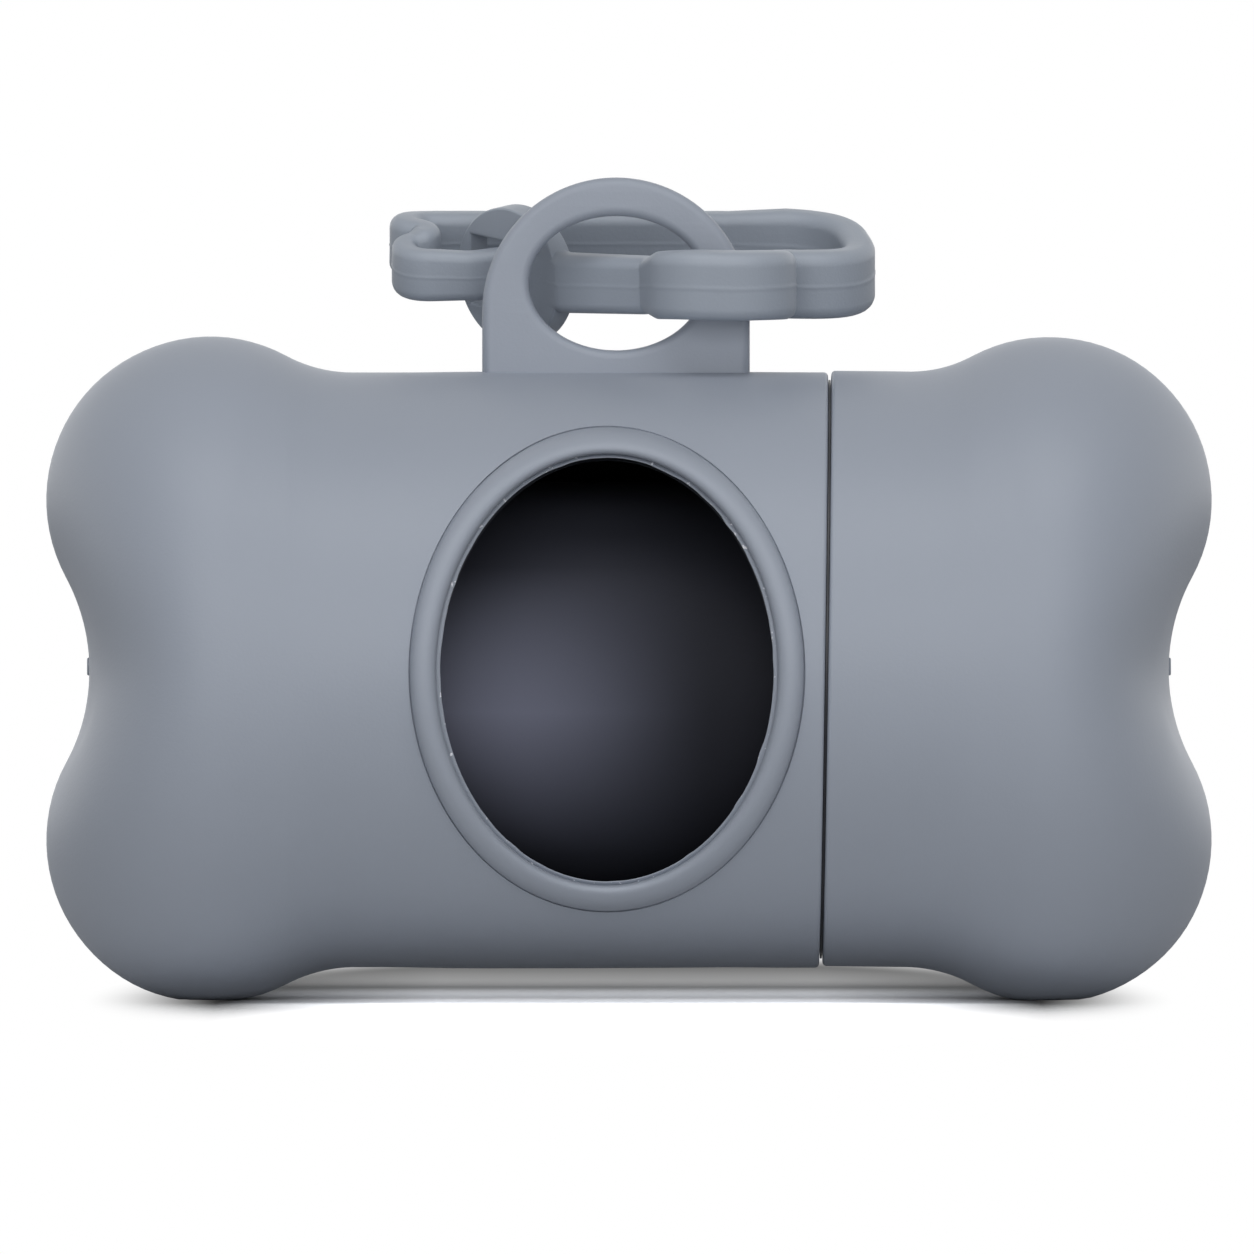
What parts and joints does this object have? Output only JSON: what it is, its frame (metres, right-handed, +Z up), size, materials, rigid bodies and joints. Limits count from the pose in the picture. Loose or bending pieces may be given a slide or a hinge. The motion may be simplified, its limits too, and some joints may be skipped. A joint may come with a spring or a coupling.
{
  "type": "dog waste bag dispenser",
  "caption": "Bone-shaped dispenser for a roll of waste bags, with an oval window, a screw-on end cap and a hanging strap through a lug on top.",
  "frame": {"origin": "on the surface that the bone stands on, below the middle of the bone", "axes": "+X along the bone towards the screw cap, +Y to the back, away from the window, +Z up"},
  "size_m": [0.085, 0.0442, 0.0599],
  "materials": {
    "case": "fine matte moulded grey",
    "cap": "fine matte moulded grey",
    "liner": "smooth dark moulded plastic",
    "cap_liner": "smooth dark moulded plastic",
    "strap": "soft matte moulded rubber",
    "paper": "plain paper board",
    "film": "thin dark film, wound"
  },
  "bodies": {
    "case": {"main_shell": "case", "inner_sleeve": "liner"},
    "cap_liner": {"cap_cup": "cap_liner"},
    "cap": {"end_cap": "cap"},
    "strap": {"hanging_strap": "strap"},
    "roll": {"roll_core": "paper", "bag_roll": "film"}
  },
  "joints": [
    {"name": "cap_travel", "type": "slide", "parent": "case", "child": "cap_liner", "axis": [1, 0, 0], "range_m": [0, 0.0101]},
    {"name": "cap_twist", "type": "hinge", "parent": "cap_liner", "child": "cap", "pos_m": [0.0143, 0, 0.024], "axis": [1, 0, 0], "range_deg": [0, 450]},
    {"name": "strap_swing", "type": "hinge", "parent": "case", "child": "strap", "pos_m": [-0.00095, 0.001, 0.0526], "axis": [0.8192, -0.5736, 0], "range_deg": [-20, 24]},
    {"name": "roll_spin", "type": "hinge", "parent": "case", "child": "roll", "pos_m": [0, 0, 0.0223], "axis": [1, 0, 0], "continuous": true}
  ],
  "couplings": [
    {"joint": "cap_travel", "follows": "cap_twist", "m_per_rad": 0.0012732}
  ]
}
